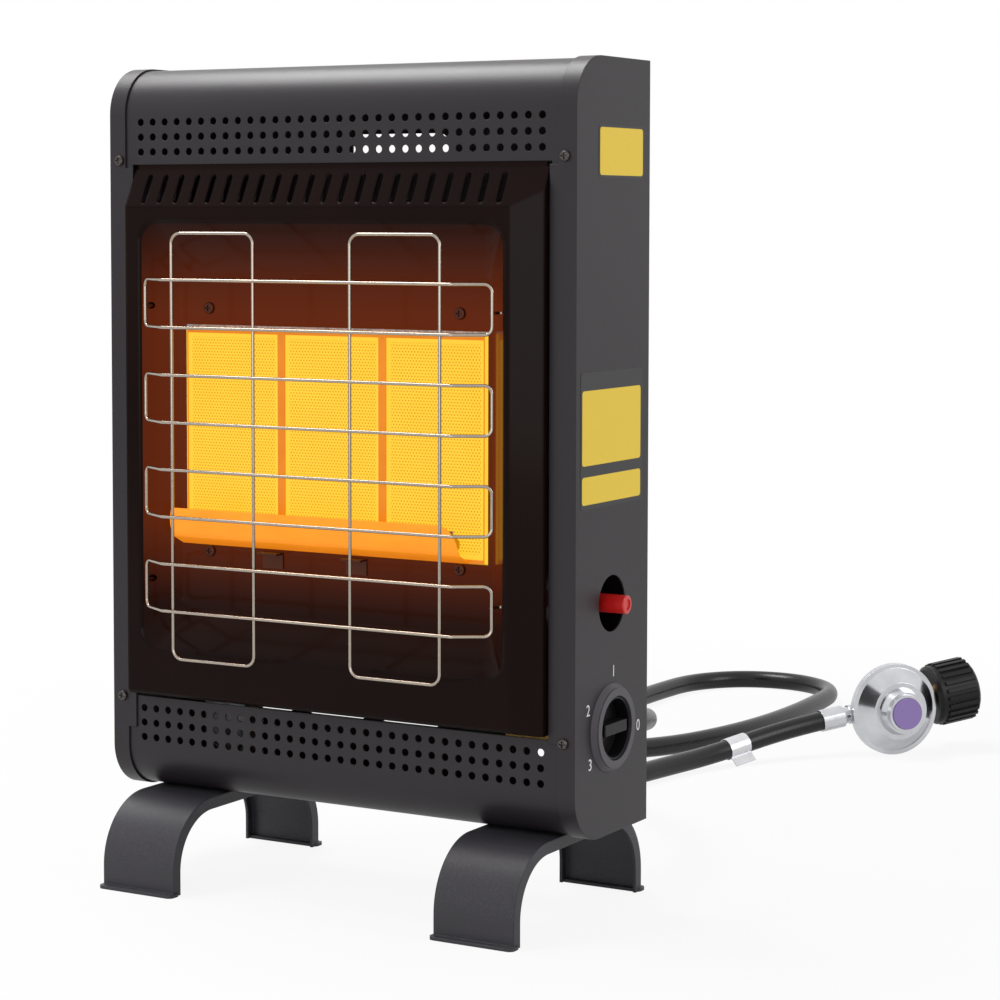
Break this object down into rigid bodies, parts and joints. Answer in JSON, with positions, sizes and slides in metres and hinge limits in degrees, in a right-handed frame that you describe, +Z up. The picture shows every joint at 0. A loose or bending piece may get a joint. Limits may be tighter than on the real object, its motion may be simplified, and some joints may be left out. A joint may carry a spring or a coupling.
{
  "type": "portable gas heater",
  "caption": "Portable infrared gas heater: flat cabinet on two arched feet, burner plates in an enamelled reflector behind a wire guard, side knob, hose with regulator.",
  "frame": {"origin": "centre of the heater's footprint on the floor, measured without the hose and regulator", "axes": "+X to the heater's right-hand side with the knob, +Y to the back where the hose comes out, +Z up"},
  "size_m": [0.3792, 0.9511, 0.553],
  "materials": {
    "cabinet_enamel": "satin baked enamel, charcoal",
    "reflector_enamel": "gloss vitreous enamel, dark brown",
    "galvanised_steel": "dull zinc-coated sheet",
    "aluminised_steel": "satin",
    "nickel_wire": "bright nickel plate",
    "zinc_screw": "bright zinc",
    "black_screw": "black oxide",
    "ceramic": "porous ceramic, glowing while lit",
    "brass": "machined",
    "aluminium": "drawn tube",
    "knob_plastic": "fine matt moulding",
    "red_plastic": "smooth moulding",
    "white_ceramic": "glazed insulator",
    "lead_silicone": "silicone sleeve",
    "foot_powder_coat": "textured powder coat, charcoal",
    "regulator_zinc": "bright plated zinc",
    "cap_plastic": "smooth moulding, violet",
    "handwheel_plastic": "ribbed moulding, black",
    "hose_rubber": "smooth glossy cover, black",
    "crimped_steel": "bright plated ferrule",
    "foil": "plain foil tag"
  },
  "bodies": {
    "cabinet": {"left_end_cap": "cabinet_enamel", "right_end_cap": "cabinet_enamel", "top_cover": "cabinet_enamel", "bottom_cover": "cabinet_enamel", "back_panel": "cabinet_enamel", "front_cap_screws": "black_screw", "back_cap_screws": "black_screw", "reflector_panel": "reflector_enamel", "ceramic_plate_1": "ceramic", "ceramic_plate_2": "ceramic", "ceramic_plate_3": "ceramic", "burner_plenum": "aluminised_steel", "gas_baffle": "aluminised_steel", "burner_face_frame": "aluminised_steel", "burner_mounting_plate": "galvanised_steel", "burner_screws": "black_screw", "flame_deflector": "aluminised_steel", "deflector_clips": "aluminised_steel", "mixing_tube": "aluminised_steel", "gas_valve": "brass", "valve_bracket": "galvanised_steel", "knob_bezel": "knob_plastic", "piezo_igniter": "knob_plastic", "igniter_bracket": "galvanised_steel", "gas_injector": "brass", "burner_supply_pipe": "aluminium", "pilot_burner": "brass", "spark_electrode": "white_ceramic", "thermocouple_tip": "zinc_screw", "pilot_bracket": "galvanised_steel", "inlet_pipe": "aluminium", "inlet_fitting": "brass", "inlet_bracket": "galvanised_steel", "tilt_switch_frame": "galvanised_steel", "igniter_lead": "lead_silicone", "pilot_pipe": "aluminium", "thermocouple_lead": "aluminium", "guard_rails": "nickel_wire", "guard_posts": "nickel_wire", "left_foot": "foot_powder_coat", "right_foot": "foot_powder_coat", "foot_screws": "zinc_screw", "regulator_body": "regulator_zinc", "regulator_bonnet": "regulator_zinc", "regulator_cap": "cap_plastic", "cylinder_nipple": "brass", "hose_nut": "brass", "inlet_ferrule": "crimped_steel", "outlet_ferrule": "crimped_steel", "gas_hose": "hose_rubber", "hose_tag": "foil"},
    "stem_slide": {"stem_collar": "brass"},
    "knob": {"control_knob": "knob_plastic", "valve_stem": "brass"},
    "button": {"igniter_button": "red_plastic"},
    "pendulum": {"tilt_weight": "brass"},
    "handwheel": {"cylinder_handwheel": "handwheel_plastic"}
  },
  "joints": [
    {"name": "knob_push", "type": "slide", "parent": "cabinet", "child": "stem_slide", "axis": [-1, 0, 0], "range_m": [0, 0.005], "stiffness_N_per_m": 900, "springref_m": -0.004},
    {"name": "knob_turn", "type": "hinge", "parent": "stem_slide", "child": "knob", "pos_m": [0.1745, -0.0005, 0.1266], "axis": [1, 0, 0], "range_deg": [0, 218]},
    {"name": "igniter_push", "type": "slide", "parent": "cabinet", "child": "button", "axis": [-1, 0, 0], "range_m": [0, 0.008], "stiffness_N_per_m": 1200, "springref_m": -0.003},
    {"name": "tilt_weight_swing", "type": "hinge", "parent": "cabinet", "child": "pendulum", "pos_m": [-0.1255, 0.008, 0.118], "axis": [0, 1, 0], "range_deg": [-12, 12]},
    {"name": "handwheel_turn", "type": "hinge", "parent": "cabinet", "child": "handwheel", "pos_m": [0.1186, 0.61537, 0.0389], "axis": [0.6609, 0.734, 0.1564], "continuous": true}
  ]
}
